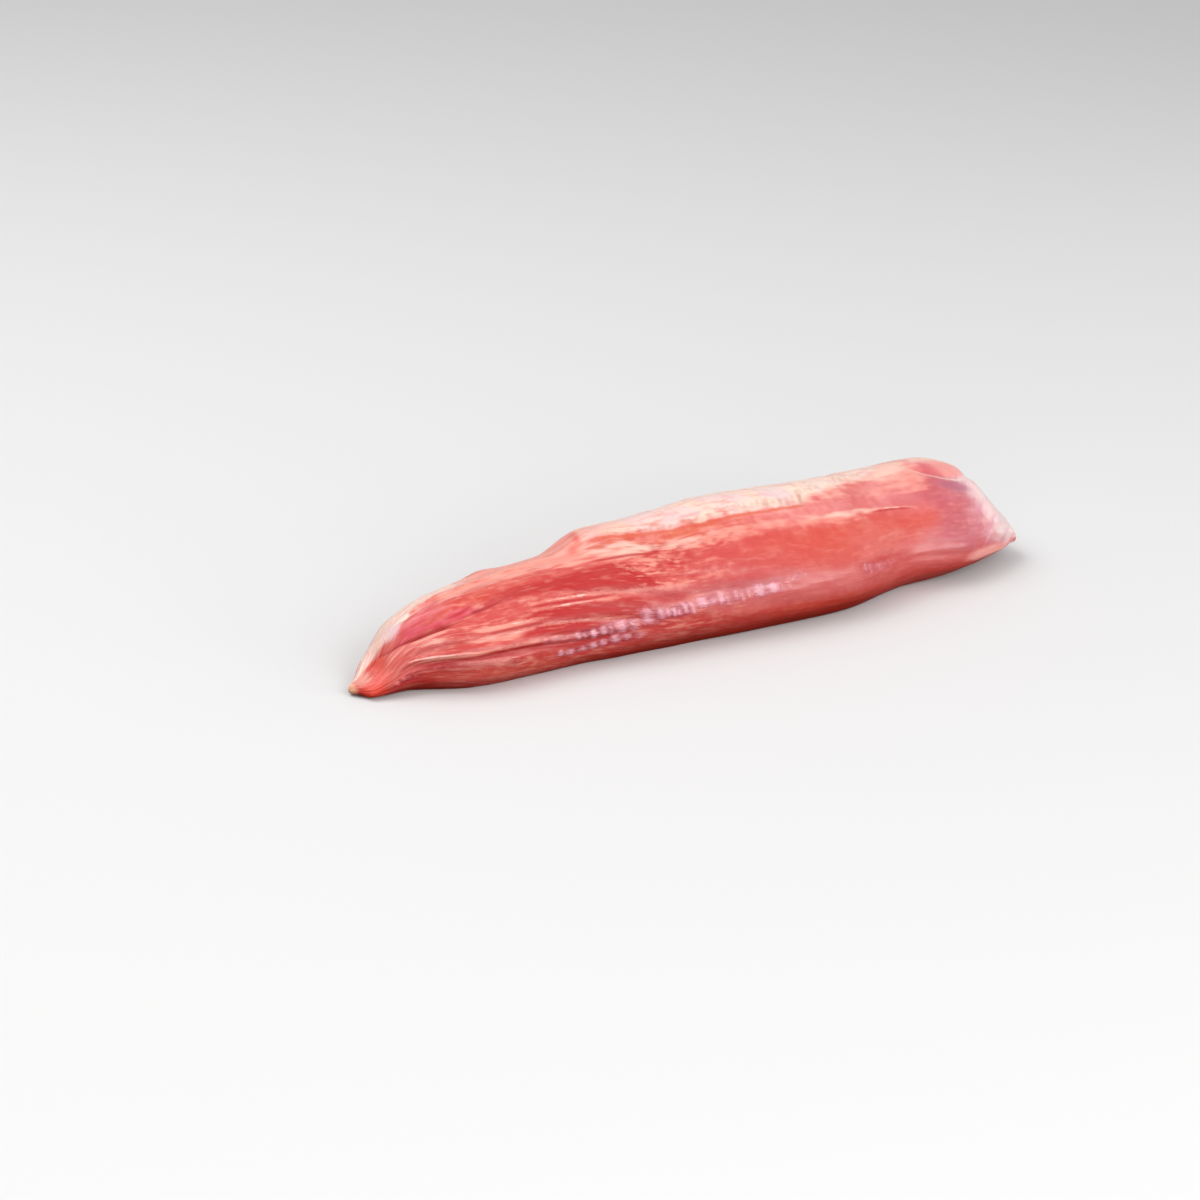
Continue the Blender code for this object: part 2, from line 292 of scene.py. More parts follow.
def from_lobe(x, angle, radius):
    """Distance from the middle of the head lobe, 1 on its seam."""
    beside = across(LOBE_ANGLE, x, angle, radius) / LOBE_HALF_WIDTH
    return np.hypot((x - LOBE_X) / LOBE_HALF_LENGTH, beside)


def head_relief(x, angle, radius):
    """Round lobe with a seam on its front side, and a long thin ridge."""
    reach = from_lobe(x, angle, radius)
    on_front = 1 - fade(across(LOBE_ANGLE, x, angle, radius), *SEAM_BACK)
    lobe = LOBE_RISE * (1 - fade(reach, 0.5, 1.0)) - SEAM_DEPTH * hump(reach - 1.0, SEAM_WIDTH) * on_front
    ridge = RIDGE_HEIGHT * hump(across(RIDGE_ANGLE, x, angle, radius), RIDGE_WIDTH)
    return lobe + ridge * stretch(x, *RIDGE_ALONG)


def along_fibres(x, angle):
    """Angle that stays the same along a fibre: fibres drift down around the front along X."""
    return angle + curve(*BUNDLE_DRIFT, x) * stretch(angle, *DRIFT_AROUND)


def bundle_relief(x, angle):
    """Bundles: two sine waves around the body, bent by slow waves along X."""
    around = np.radians(along_fibres(x, angle))
    wide = np.sin(BUNDLES_AROUND * around + 1.2 * np.sin(x / 31))
    narrow = 0.6 * np.sin(1.6 * BUNDLES_AROUND * around + 1.7 * np.sin(x / 23 + 1))
    along = fade(x, *BUNDLE_START) * (1 - BUNDLE_SMOOTHED * fade(x, *BUNDLE_FADE))
    return BUNDLE_HEIGHT * along * stretch(angle, *BUNDLE_AROUND) * (wide + narrow)


def tip_cut(x, angle):
    """1 on the short cut across the front of the tip."""
    return hump(x - TIP_CUT_X, TIP_CUT_WIDTH) * stretch(angle, *TIP_CUT_AROUND)


def large_relief(x, angle, radius):
    """Sum of the forms that can be felt with a finger."""
    parts = [relief(x, angle, radius) for relief in (fold_relief, groove_relief, cap_relief, head_relief)]
    parts += [mound(form, x, angle, radius) for form in (KNOB, NUB, CUP, HOLLOW)]
    return sum(parts) + bundle_relief(x, angle) - TIP_CUT_DEPTH * tip_cut(x, angle)


print("deepest fold:", max(FOLD_DEPTH[1]), "mm")

# %% [markdown]
# ## A map of colour zones
#
# The meat changes from place to place: deep red where a cut is fresh, pale where
# fat shines through, lilac where silverskin covers it. A few zones on the lower
# front of the tail and under the head end are painted light: they make the lower
# side lighter where light falls on it from below. The zones are set down as on a
# map, by the place along X in millimetres and the angle around. Each is a soft
# ellipse that leans with the fibres. Short cross wrinkles, some on the meat and
# some on the fat, and two faint cross cuts come in rows of small bars. The bars
# on the meat also carry painted glints, painted highlights in lilac.

# %% Zones
# each: X, angle at that X, half length in mm, half width in degrees, strength
ZONES = {
    "deep": (
        (-54, 50, 16, 9, 2.2), (-47, 55, 7, 3, 1.5), (-78, 63, 20, 7, 0.9), (-64, 29, 22, 7, 2),
        (-72, 19, 15, 6, 1.6), (-46, 23, 8, 6, 1.2), (-94, 11, 14, 3, 1), (-122, 5, 6, 6, 0.9),
        (-131, -10, 10, 9, 0.9), (-85, 4, 6, 6, 0.5), (-107, 8, 14, 2.2, 0.9), (-30, 22, 9, 5, 0.8),
        (-38, 36, 6, 5, 0.7), (-20, 48, 7, 5, 0.4), (-4, 22, 18, 5, 0.6), (-88, 22, 6, 5, 0.6),
    ),
    # the pale zones at X -104 and X 122 near angle 0 are painted light on the lower side
    "pale": (
        (-98, 36, 15, 4, 0.85), (-99, 27, 13, 3.5, 0.8), (-123, 46, 7, 4, 0.7),
        (-102.5, 62.5, 2.4, 3, 0.9), (-110, 86, 18, 6, 0.65), (-85, 102, 40, 16, 1),
        (-70, 128, 34, 16, 0.7), (98, 114, 14, 22, 0.8), (-60, 84, 9, 12, 0.8), (-76, 84, 9, 6, 0.6),
        (-119, 15.5, 14, 3, 1.2), (-40, 60, 10, 3, 0.6), (-10, 61, 30, 5, 0.65), (42, 57, 28, 3, 0.55),
        (-104, 0, 14, 5, 0.4), (58, 78, 14, 5, 0.5), (88, 78, 20, 9, 0.3), (122, -3, 12, 8, 0.5),
        (-145.5, 85, 4, 50, 1),
    ),
    "cream": (
        (-40, 69, 12, 6, 0.9), (-20, 63, 10, 4, 0.7), (-123, 37, 6, 3, 0.6), (60, 56, 20, 1.8, 0.5),
        (88, 96, 20, 7, 1), (72, 98, 18, 8, 0.8),
    ),
    "mottled": (
        (-33, 50, 13, 16, 1), (-10, 60, 26, 6, 0.7), (-124, -2, 12, 6, 0.5), (112, 40, 14, 20, 0.25),
    ),
    "orange": (
        (58, 36, 50, 16, 1), (-92, 73, 24, 8, 0.9), (-110, 29, 7, 5, 1), (-20, 73, 34, 4, 0.7),
        (-142, 40, 8, 50, 0.8), (-104, 0, 14, 7, 0.6), (-100, -12, 40, 8, 0.5), (40, -14, 30, 10, 0.8),
    ),
    "pink": (
        (20, 6, 60, 12, 0.9), (-60, 4, 24, 10, 0.7), (104, 10, 26, 18, 0.9), (62, 67, 40, 7, 0.8),
        (96, 60, 22, 12, 0.8), (108, 86, 8, 10, 0.8),
    ),
    "magenta": (
        (-128, 62, 6, 6, 0.9), (-117, 59, 9, 3.5, 0.9), (-108, 62, 6, 5, 1.1), (-117, 86, 4, 7, 0.6),
        (-123, 74, 12, 8, 0.5), (110, 86, 8, 7, 0.5), (147, 0, 4, 28, 0.9),
    ),
    "rose": (
        (113, 42, 13, 26, 1), (106, 16, 18, 16, 0.6), (118, 62, 10, 8, 0.8), (92, 60, 12, 8, 0.5),
        (0, 19, 22, 5, 0.6),
    ),
    # near angle 0 and below, on the head end and the tail's lower front, painted light on the lower side;
    # higher up, a paler pink of the flesh
    "blush_and_bounce_light": (
        (136, -14, 13, 22, 1), (-114, 86, 11, 8, 0.45), (122, -4, 12, 9, 1), (-104, 0, 14, 5, 0.35),
        (-108, -15, 20, 9, 0.35), (34, 63, 34, 8, 0.35), (84, 72, 16, 9, 0.3),
    ),
    "lilac": (
        (34, 88, 8, 6, 1), (17, 87, 6, 5, 0.6), (-8, 84, 9, 4, 0.5), (5, 94, 7, 5, 0.6),
        (60, 90, 8, 5, 0.5), (-131, 88, 3, 14, 0.9),
    ),
    "cup": (
        (-142.5, 36, 4.5, 20, 1), (-108, -15, 20, 9, 0.45), (-139.3, 78, 3.2, 30, 0.9),
        (-144, 0, 4, 45, 1.2),
    ),
}

# each: X from, X to, angle from, angle to, half height in degrees, half length in mm, strength
WRINKLE_ROWS = {
    # bars of cross wrinkles on the meat: raised in the relief, and painted as glints
    "wrinkle_glint": (
        (-70, -54, 6.5, 7, 6.5, 1.1, 1), (-54, -45, 7, 6, 7, 2, 0.8), (-84, -71, 11, 8, 4, 1.8, 0.6),
        (-77, -44, -7, -6, 4.5, 1.7, 0.8), (-43, -33, 8, 8, 9, 2.3, 1), (-33, -22, 8, 10, 7, 0.8, 1),
        (-20, -11, 12, 12, 5.5, 2.2, 0.9), (-11, 2, 10, 11, 5.5, 1.1, 0.7), (4, 11, 11, 11, 7, 2.6, 0.9),
        (12, 19, 12, 14, 6, 1.3, 0.5), (19, 27, 17, 18, 3.5, 2.4, 0.4), (55, 61, 11, 11, 6, 1.8, 0.5),
        (61, 71, 9, 10, 5, 2.4, 0.3), (-137, -129, 1, -3, 8, 0.8, 0.9),
        (-124, -104, 3, 1, 5, 0.45, 0.45), (-99, -93, -2, -4, 6, 1.6, 0.45),
    ),
    "fat_tick": (
        (25, 42, 77, 77, 6, 1, 1), (10, 24, 79, 78, 5, 1, 0.6), (42, 54, 84, 86, 5, 1, 0.6),
        (-30, -5, 78, 76, 3, 0.9, 0.6), (64, 80, 92, 93, 5, 1, 0.6),
    ),
    "cut": (
        (-31, -29.5, 53, 53, 15, 0.9, 1), (-17.5, -16, 29, 29, 6, 0.8, 0.8),
    ),
}
# millimetres along X for each degree up
WRINKLE_LEAN = {"wrinkle_glint": 0.12, "fat_tick": -0.25, "cut": -0.06}


def zone_mask(zones, x, angle):
    """Sum of soft ellipses, which lean with the fibres, held at 1."""
    fibre_angle = along_fibres(x, angle)
    mask = 0 * (x + angle)
    for place, at, length, width, strength in zones:
        reach = np.hypot((x - place) / length, (fibre_angle - along_fibres(place, at)) / width)
        mask = mask + strength * (1 - fade(reach, 0.4, 1.4))
    return np.minimum(mask, 1.0)


print("colour zones:", {name: len(zones) for name, zones in ZONES.items()})
print("rows of wrinkles:", {name: len(rows) for name, rows in WRINKLE_ROWS.items()})

# %% [markdown]
# ## Fine relief
#
# Between the large folds the surface is never smooth. It has shallow lumps, fine
# fibres along the length, and small cross wrinkles where the front turns under.
# The uneven ones come from a grid of random heights, which is read with smooth
# steps between its points, and is the same on each run.

# %% Fine relief
RANDOM_SIDE = 64
RANDOM_GRID = np.random.default_rng(7).random((RANDOM_SIDE, RANDOM_SIDE))
LUMP_HEIGHT = 0.5
FIBRE_HEIGHT = 0.3
WRINKLE_HEIGHT = 0.35
FILM_SINK = 0.4
FILM_END = 3.0
BAR_REACH = (0.5, 1.2)
FAT_LUMP_HEIGHT = 0.7
FAT_WRINKLE_HEIGHT = 0.07
FAT_WRINKLE_PITCH = 2.3
FRILL = 1.6
SKIN_FOLD_HEIGHT = 0.45
SKIN_FOLD_ALONG = ((112, 130), (136, 145))
UPPER_SIDE = ((-60, -25), (195, 235))
STEP_LINE_X = -53.0
STEP_LINE_ANGLE = 90.0
STEP_LINE_LEAN = 0.155


def unevenness(u, v):
    """Random heights from 0 to 1 at whole u and v, joined by smooth steps in both directions.

    A place is divided by the size of a lump, and a shift reads another part of the grid.
    """
    column = np.floor(u).astype(int)
    row = np.floor(v).astype(int)
    to_right = fade(u - column, 0.0, 1.0)
    down = fade(v - row, 0.0, 1.0)
    here, below = (
        RANDOM_GRID[n % RANDOM_SIDE, column % RANDOM_SIDE] * (1 - to_right)
        + RANDOM_GRID[n % RANDOM_SIDE, (column + 1) % RANDOM_SIDE] * to_right
        for n in (row, row + 1)
    )
    return here * (1 - down) + below * down


def wrinkle_bars(rows):
    """Place, angle, half length, half height and strength of each bar, set down row by row."""
    chance = np.random.default_rng(5)
    bars = []
    for start, end, first, last, half_height, half_length, strength in rows:
        x = start
        while x < end:
            length = half_length * chance.uniform(0.6, 1.4)
            at = first + (last - first) * (x - start) / (end - start) + chance.uniform(-2.0, 2.0)
            height = half_height * chance.uniform(0.6, 1.15)
            bars.append((x + length, at, length, height, strength * chance.uniform(0.45, 1.0)))
            x = x + 2 * length + chance.uniform(0.3, 1.3)
    return bars


def tick_mask(name, x, angle):
    """The strongest bar at each point: a bell along X times a soft-ended stretch around."""
    mask = 0 * (x + angle)
    for place, at, length, half_height, strength in wrinkle_bars(WRINKLE_ROWS[name]):
        bar = hump(x - place + WRINKLE_LEAN[name] * (angle - at), length)
        mask = np.maximum(mask, strength * bar * (1 - fade(np.abs(angle - at) / half_height, *BAR_REACH)))
    return mask


def film_mask(x, angle):
    """The thin skin that the bars lie in: one soft stretch for each row."""
    mask = 0 * (x + angle)
    for start, end, first, last, half_height, _, strength in WRINKLE_ROWS["wrinkle_glint"]:
        on = between(x, start, end, FILM_END)
        off_middle = np.abs(angle - first - (last - first) * (x - start) / (end - start))
        mask = np.maximum(mask, strength * on * (1 - fade(off_middle / half_height, *BAR_REACH)))
    return mask


def frilled_cap_edge(x, angle, radius):
    """Distance from the lower edge of the fat cap, moved to and fro by two sizes of unevenness."""
    frill = unevenness(x / 5.0, angle / 40) + 0.7 * unevenness(x / 1.9 + 11, angle / 25 + 5) - 0.85
    return across(CAP_ANGLE, x, angle, radius) + FRILL * frill


def on_cap(x, angle):
    """1 on the stretch that the fat cap covers, with soft ends."""
    wander = 16 * (unevenness(0 * x + 5, angle / 14) - 0.5) * fade(angle, 100, 130)
    start = STEP_LINE_X + STEP_LINE_LEAN * (angle - STEP_LINE_ANGLE) + wander
    softness = 3 + 12 * fade(angle, 105, 140)
    lower_edge = angle + 30 * (unevenness(x / 13 + 2, 0 * angle + 8) - 0.5)
    head_end = x + 1.5 * wander - 22 * fade(angle, 104, 126)
    above_edge = 1 - fade(lower_edge, 135, 190)
    return fade((x - start) / softness, -1, 1) * (1 - fade(head_end, 84, 106)) * above_edge


def skin_place(x, angle):
    """Millimetres across and along the slanting folds of the silverskin on the head."""
    return 0.61 * x - 0.28 * angle, 0.79 * x + 0.21 * angle


def fine_relief(x, angle, radius):
    """Lumps, two sizes of fibre, cross wrinkles, lumps of fat and folds of skin, in millimetres."""
    fibre_angle = along_fibres(x, angle)
    lumps = unevenness(x / 19 + 5, angle / 26 + 9) - 0.5
    fibres = unevenness(x / 24, fibre_angle / 6.5) + 0.6 * unevenness(x / 11 + 20, fibre_angle / 3.6) - 0.8
    wrinkles = tick_mask("wrinkle_glint", x, angle) - FILM_SINK * film_mask(x, angle)
    fat = on_cap(x, angle) * fade(frilled_cap_edge(x, angle, radius), -0.8, 0.8)
    fat_lumps = unevenness(x / 6 + 2, angle / 15) + 0.6 * unevenness(x / 2.6 + 40, angle / 8) - 0.7
    fat_wrinkles = np.sin(2 * np.pi * x / FAT_WRINKLE_PITCH + 6 * unevenness(x / 6 + 9, angle / 18 + 3))
    on_fat = fat * (FAT_LUMP_HEIGHT * fat_lumps + FAT_WRINKLE_HEIGHT * fat_wrinkles)
    on_fat = on_fat * (1 - 0.7 * fade(angle, 105, 125))
    bare = LUMP_HEIGHT * lumps + FIBRE_HEIGHT * fibres * (1 - 0.6 * fat) + WRINKLE_HEIGHT * wrinkles
    beside, along = skin_place(x, angle)
    skin_folds = unevenness(beside / 2.6, along / 16) + 0.4 * unevenness(beside / 1.2 + 9, along / 11) - 0.7
    on_skin = SKIN_FOLD_HEIGHT * stretch(x, *SKIN_FOLD_ALONG) * skin_folds
    return stretch(angle, *UPPER_SIDE) * (bare + on_fat + on_skin)


print("random grid:", RANDOM_GRID.shape, "mean", round(float(RANDOM_GRID.mean()), 3))

# %% [markdown]
# ## The surface
#
# A section is a squared ellipse in four quarters. The relief lifts each point
# along the outward arrow of its section. Both ends shrink to one point over a
# short rounded length, and nothing goes below the level that the piece rests on.

# %% Surface function
def rounding(x):
    """Share of full size: the 2.3-power circle at both ends, 1 between them."""
    tip = np.clip((TIP_X + TIP_ROUND - x) / TIP_ROUND, 0.0, 1.0)
    head = np.clip((x - HEAD_X + HEAD_ROUND) / HEAD_ROUND, 0.0, 1.0)
    return ((1 - tip ** ROUND_POWER) * (1 - head ** ROUND_POWER)) ** (1 / ROUND_POWER)


def section_sizes(x):
    """Centre line, front half, back half, height and level of the underside at each X."""
    sizes = [curve(STATION_X, values, x) for values in (CENTRE_Y, FRONT_HALF, BACK_HALF, HEIGHT)]
    return (*sizes, curve(*UNDERSIDE, x))


def mean_radius(x):
    """Mean of half the width and half the height, for lengths across the surface."""
    return sum(section_sizes(x)[1:4]) / 4


def surface(x, t, lift_by=0.0):
    """Squared ellipse in four quarters, plus relief along its outward arrow, closed at both ends."""
    centre, front, back, height, under = section_sizes(x)
    foot = np.maximum(under, 0.0)
    widest = foot + curve(*WIDEST_AT, x) * (height - foot)
    to_front = np.cos(t)
    to_top = np.sin(t)
    half = np.where(to_front > 0, front, back)
    rise = np.where(to_top > 0, height - widest, widest - under)
    upper = np.where(to_front > 0, UPPER_FRONT, UPPER_BACK)
    lower = np.where(to_front > 0, LOWER_FRONT, LOWER_BACK)
    power = 2 / np.where(to_top > 0, upper, lower)
    y = centre - np.sign(to_front) * half * np.abs(to_front) ** power
    z = widest + np.sign(to_top) * rise * np.abs(to_top) ** power

    out_y = -to_front / half
    out_z = to_top / rise
    angle = degrees_around(t)
    radius = mean_radius(x)
    relief = large_relief(x, angle, radius) + fine_relief(x, angle, radius) + lift_by
    lift = relief / np.hypot(out_y, out_z)
    y = y + lift * out_y
    z = z + lift * out_z

    share = rounding(x)
    point_y = centre + (HEAD_POINT_Y - centre) * fade(x, HEAD_X - HEAD_ROUND, HEAD_X)
    runs = (TIP_X, TIP_X + TIP_ROUND + POINT_RUN, HEAD_X - HEAD_ROUND - POINT_RUN, HEAD_X)
    point_z = curve(runs, (TIP_POINT_Z, TIP_POINT_Z + POINT_RISE, HEAD_POINT_Z + 1, HEAD_POINT_Z), x)
    y = point_y + (y - point_y) * share
    z = np.maximum(point_z + (z - point_z) * share, 0.0)
    return np.stack([x - MIDDLE_X + 0 * t, y - MIDDLE_Y, z], axis=-1)


# %% [markdown]
# ## From surface to mesh
#
# The surface is sampled on a grid of rings. Columns lie closer together on the
# front and top, where the fine detail is, and the seam between the last and the
# first column lies under the piece.

# %% Mesh
AROUND = 232
TIP_RINGS = 12
HEAD_RINGS = 10
BODY_RINGS = 404
CLOSEST_ANGLE = np.radians(57)
CROWDING = np.radians(25)


def ring_positions():
    """X of all rings: even steps of the rounding angle at both ends, even steps between them."""
    tip = np.radians(90) * np.arange(TIP_RINGS + 1) / TIP_RINGS
    head = np.radians(90) * np.arange(HEAD_RINGS, -1, -1) / HEAD_RINGS
    tip_x = TIP_X + TIP_ROUND * (1 - np.cos(tip) ** (2 / ROUND_POWER))
    head_x = HEAD_X - HEAD_ROUND * (1 - np.cos(head) ** (2 / ROUND_POWER))
    body_x = np.linspace(tip_x[-1], head_x[0], BODY_RINGS + 1)
    return np.concatenate([tip_x[:-1], body_x[:-1], head_x])


def column_angles():
    """Even angles less a sine wave, so that columns crowd around the closest angle."""
    even = np.radians(-90) + 2 * np.pi * np.arange(AROUND) / AROUND
    return (even - CROWDING * np.sin(even - CLOSEST_ANGLE)) % (2 * np.pi)


def ring_quads(ring_count, columns):
    """Four vertex numbers for each quad between neighbouring rings."""
    ring, column = np.meshgrid(np.arange(ring_count - 1), np.arange(columns), indexing="ij")
    following = (column + 1) % columns
    here = ring * columns
    there = here + columns
    return np.stack([here + column, there + column, there + following, here + following], -1).reshape(-1, 4)


rings = ring_positions()
ring_x, ring_t = np.meshgrid(rings[1:-1], column_angles(), indexing="ij")
points = surface(ring_x, ring_t).reshape(-1, 3)
end_points = surface(np.array([TIP_X, HEAD_X]), np.zeros(2))
quads = ring_quads(len(rings) - 2, AROUND).tolist()
tip_number = len(points)
last_ring = tip_number - AROUND
tip_fan = [(tip_number, n, (n + 1) % AROUND) for n in range(AROUND)]
head_fan = [(tip_number + 1, last_ring + (n + 1) % AROUND, last_ring + n) for n in range(AROUND)]


def add_piece(name, corners, faces):
    """New object from vertices in millimetres and lists of faces, smooth shaded."""
    mesh = bpy.data.meshes.new(name)
    mesh.from_pydata((corners * MM).tolist(), [], faces)
    mesh.shade_smooth()
    piece = bpy.data.objects.new(name, mesh)
    bpy.context.scene.collection.objects.link(piece)
    print(name, "has", len(corners), "vertices and", len(faces), "faces")
    return piece


meat = add_piece("meat", np.concatenate([points, end_points]), quads + tip_fan + head_fan)
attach(meat, "root")
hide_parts("tenderloin")

# %% [markdown]
# ## What the material needs to know
#
# The shader can't work out where the fold or the fat cap is, so each vertex
# carries numbers: one mask for each zone, and its straight place, which is where
# the vertex would be if every fibre ran straight along a round bar. Noise that is
# stretched along that bar follows the fibres, without a seam.

# %% Straight place and zones
# the two numbers of a fade are millimetres along X or degrees around
BAR_RADIUS = 20.0
all_x = np.concatenate([ring_x.ravel(), [TIP_X, HEAD_X]])
all_angle = degrees_around(np.concatenate([ring_t.ravel(), [0.0, 0.0]]))
all_radius = mean_radius(all_x)
here = (all_x, all_angle, all_radius)


def keep(name, values):
    """Stores one number per vertex of the meat under a name that the material can read."""
    attribute = meat.data.attributes.new(name, "FLOAT", "POINT")
    attribute.data.foreach_set("value", np.asarray(values, np.float32))
    print(name, "mean", round(float(np.mean(values)), 3))


def keep_vector(piece, name, *parts):
    """Stores three numbers per vertex under a name."""
    attribute = piece.data.attributes.new(name, "FLOAT_VECTOR", "POINT")
    attribute.data.foreach_set("vector", np.stack(parts, axis=-1).astype(np.float32).ravel())


def keep_straight(piece, x, angle):
    """Stores the place on the round bar: X, and its radius times cosine and sine of the fibre angle."""
    fibre = np.radians(along_fibres(x, angle))
    keep_vector(piece, "straight", x, BAR_RADIUS * np.cos(fibre), BAR_RADIUS * np.sin(fibre))


keep_straight(meat, all_x, all_angle)
for name, zones in ZONES.items():
    keep(name, zone_mask(zones, all_x, all_angle))
for name in WRINKLE_ROWS:
    keep(name, tick_mask(name, all_x, all_angle))
keep("film", film_mask(all_x, all_angle))
keep("calm", fade(all_x, -30, 15))
keep("tail_side", 1 - fade(all_x, -48, -26))
keep("warm_end", 1 - fade(all_x, -100, -88))
keep("flap", 1 - fade(all_x, -149.2, -147.6))

# %% Fat, silverskin and painted shade on the underside
RIM_START = ((-150, -143, -137, -132, -127, -122, -112, -100), (84, 100, 88, 70, 72, 84, 88, 92))
UNDERSIDE_SHADE_FROM = (
    (-150, -128, -115, -95, -70, -40, 0, 50, 90, 108, 120, 130, 140),
    (-30, -20, -32, -40, -26, -18, -18, -14, -30, -30, -24, -50, -65),
)
cap_distance = frilled_cap_edge(*here)
covered = on_cap(all_x, all_angle)
keep("fat", covered * fade(cap_distance, -3.5, 5.0))
keep("fringe", covered * hump(cap_distance - 0.5, 3.2) * (1 - fade(all_x, 0, 30)))
above_rim = fade(all_angle - curve(*RIM_START, all_x), 0, 20) * (1 - 0.8 * fade(all_angle, 120, 165))
keep("rim", above_rim * (1 - fade(all_x, -112, -84)))
skin_reach = all_x + 4 * fade(all_angle, 30, 60) - 14 * (1 - fade(all_angle, -20, 12))
keep("skin", fade(skin_reach, 110, 138) * stretch(all_angle, (-8, 14), (150, 200)))
keep_vector(meat, "skin_place", *skin_place(all_x, all_angle), 0 * all_x)
# painted shade: the underside is painted darker towards the bottom, from the angle given at each X
keep("under", 1 - fade(all_angle - curve(*UNDERSIDE_SHADE_FROM, all_x), -16, 14))

# %% Painted shade: dark lines of fold, groove and step
FOLD_SHADE = (
    (-143, -137, -133, -128, -117, -113, -107, -104.5, -99, -95, -90),
    (0, 1, 0.8, 1, 1, 0.3, 0.15, 1, 0.8, 0.3, 0),
)
GROOVE_SHADE_LIMIT = 0.6
STEP_SPOT_X = -56.0
STEP_SPOT_ANGLE = 86.0
fold_distance = across(FOLD_ANGLE, *here)
fold_shade = hump(fold_distance - 0.1, 0.8) * curve(*FOLD_SHADE, all_x)
groove_shade = np.clip(-groove_relief(*here), 0, GROOVE_SHADE_LIMIT)
# painted shade: the fold, the groove and the short cut at the tip are painted dark red
keep("crease_shade", np.maximum(np.maximum(fold_shade, groove_shade), tip_cut(all_x, all_angle)))
keep("sunk", hump(fold_distance - 0.3, 2.2) * stretch(all_x, (-143, -137), (-103, -95)))
# painted shade in the notch at the foot of the fat step, in the red of the meat, and a red spot beside it
step_shade_line = all_x - STEP_LINE_X - STEP_LINE_LEAN * (all_angle - STEP_LINE_ANGLE)
on_step = stretch(all_angle, (84, 90), (100, 122)) * (1 - 0.5 * fade(all_angle, 96, 106))
step_spot = hump(all_x - STEP_SPOT_X, 1.9) * hump(all_angle - STEP_SPOT_ANGLE, 5.0)
keep("step", np.maximum(hump(step_shade_line, 1.4) * on_step, step_spot))

# %% Lobe and hollow of the head
HOLLOW_COLOUR_X = 117.0
lobe_reach = from_lobe(*here)
lobe_end = 1.02 + 0.5 * fade(all_angle, 92, 115)
on_lobe = 1 - fade(lobe_reach, 1.7 - 0.83 * lobe_end, lobe_end)
keep("lobe", on_lobe * (0.3 + 0.7 * fade(all_x, 108, 120)))
# painted sheen: the top of the head lobe is painted lighter
keep("lobe_top_sheen", (1 - fade(lobe_reach, 0.45, 1.3)) * fade(all_angle, 82, 98) * fade(all_x, 104, 112))
on_seam = (1 - fade(all_x, 122, 130)) * (1 - fade(all_angle, 84, 96))
keep("seam", hump(lobe_reach - 1.04, 0.045) * on_seam)
# the head's hollow: silverskin lilac, painted darker as shade in the hollow
from_hollow = all_x - HOLLOW_COLOUR_X
below_hollow = across(HOLLOW_ANGLE, *here) - 1.0 + 0.12 * from_hollow
keep("hollow", 1 - fade(np.hypot(from_hollow / 9, below_hollow / 2.2), 0.3, 1.4))

# %% Sinew lines and lines of painted shade
# each: X places, angles, half width in mm
SINEWS = (
    ((-84, -76, -68, -58, -47), (50, 48, 45, 41, 34.5), 0.42),
    ((-84, -74, -66, -57, -49), (43.5, 40.5, 38, 34.5, 31), 0.38),
    ((-84, -75, -66, -57, -46), (29.5, 25.5, 22, 17.5, 13), 0.32),
    ((-134, -130, -126, -118, -110), (29, 23, 20, 17, 15.5), 0.42),
    ((-107, -95, -85), (16, 15.5, 14.5), 0.28),
    ((-106, -96, -86, -79), (38.5, 37.5, 35.5, 33.5), 0.32),
    ((-106, -95, -85), (30, 29, 27.5), 0.3),
    ((-128, -123, -118), (45, 41, 36), 0.3),
    ((-50, -40, -30, -20), (35, 32.5, 30.5, 28), 0.25),
    ((-43, -36, -29), (52, 48, 45), 0.22),
    ((-18, -12, -6), (31, 32, 33), 0.25),
    ((68, 76, 85, 93), (54.5, 53, 50.5, 47), 0.34),
    ((-84, -81, -77), (15, 14, 13), 0.25),
)
# painted shade: dark lines beside the sinews and along the creases
SHADE_LINES = (
    ((-115, -110, -104.5), (60.5, 62, 66), 0.5),
    ((-106, -100, -92), (56, 58, 61), 0.5),
    ((-84, -76, -70, -62, -52), (46.5, 44.5, 42, 39, 35), 0.45),
    ((-105, -95, -88, -80), (33.5, 33, 32, 30), 0.45),
    ((-54, -47, -38, -29), (67, 64, 61.5, 58.5), 0.4),
    ((-83, -76, -68, -56, -46), (4, 1, -1, -1, 0), 0.55),
    ((-82, -74, -66), (17.5, 16, 14), 0.4),
    ((71, 80, 91), (52.2, 50.6, 47.4), 0.3),
)
FRINGE_LINES = (
    ((-50, -40, -30, -20, -10, 2), (83, 79.5, 76.5, 74, 71.5, 69), 0.45),
    ((2, 15, 30, 42), (70.5, 70.5, 70, 70.5), 0.5),
    ((-24, -16, -8), (71, 70, 68.5), 0.8),
)
HALO_WIDTH = 0.6
LINE_WIDENING = 1.2
LINE_END = 5.0


def keep_lines(name, lines, width=None):
    """Stores the largest bell over all lines, as wide as given or a bit wider than each line."""
    mask = 0 * all_x
    for places, angles, half_width in lines:
        bell = hump(across((places, angles), *here), width or LINE_WIDENING * half_width)
        mask = np.maximum(mask, bell * between(all_x, places[0], places[-1], LINE_END))
    keep(name, mask)


keep_lines("halo", SINEWS, HALO_WIDTH)
keep_lines("fringe_line", FRINGE_LINES)
keep_lines("line", SHADE_LINES)

